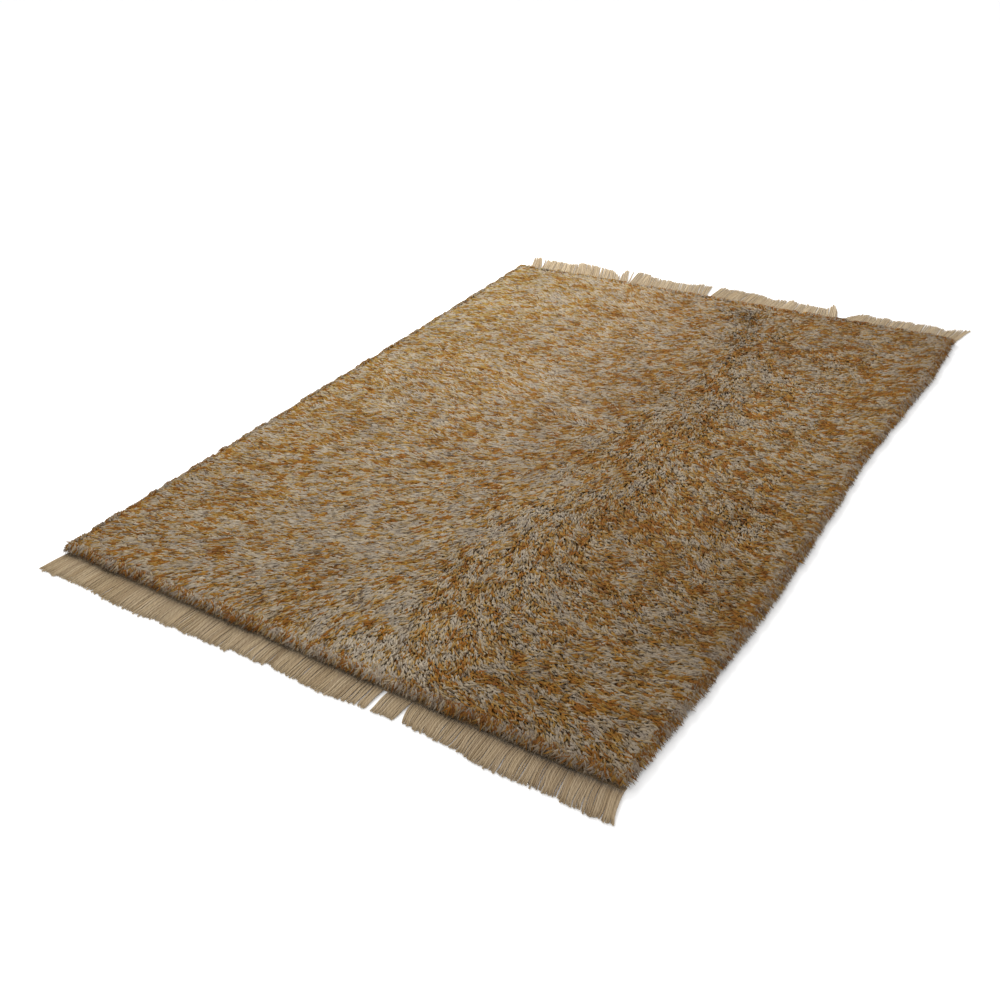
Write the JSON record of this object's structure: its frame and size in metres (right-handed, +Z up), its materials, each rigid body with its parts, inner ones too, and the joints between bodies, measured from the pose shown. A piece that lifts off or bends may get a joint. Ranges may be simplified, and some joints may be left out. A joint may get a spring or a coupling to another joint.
{
  "type": "moroccan rug",
  "caption": "Rectangular hand-knotted shag rug lying flat, with a thick mixed-colour pile and cream warp fringe at its short ends.",
  "frame": {"origin": "on the floor, under the middle of the rug's bounding box", "axes": "+X across the width, +Y along the length towards the longer fringe, +Z up"},
  "size_m": [1.4878, 2.1462, 0.0273],
  "materials": {
    "pile_yarn": "long loose wool pile in cream, ochre, rust and dark brown",
    "warp_yarn": "twisted undyed cream warp cords, matt"
  },
  "bodies": {
    "root": {"pile": "pile_yarn", "fringe_front": "warp_yarn", "fringe_back": "warp_yarn"}
  },
  "joints": []
}
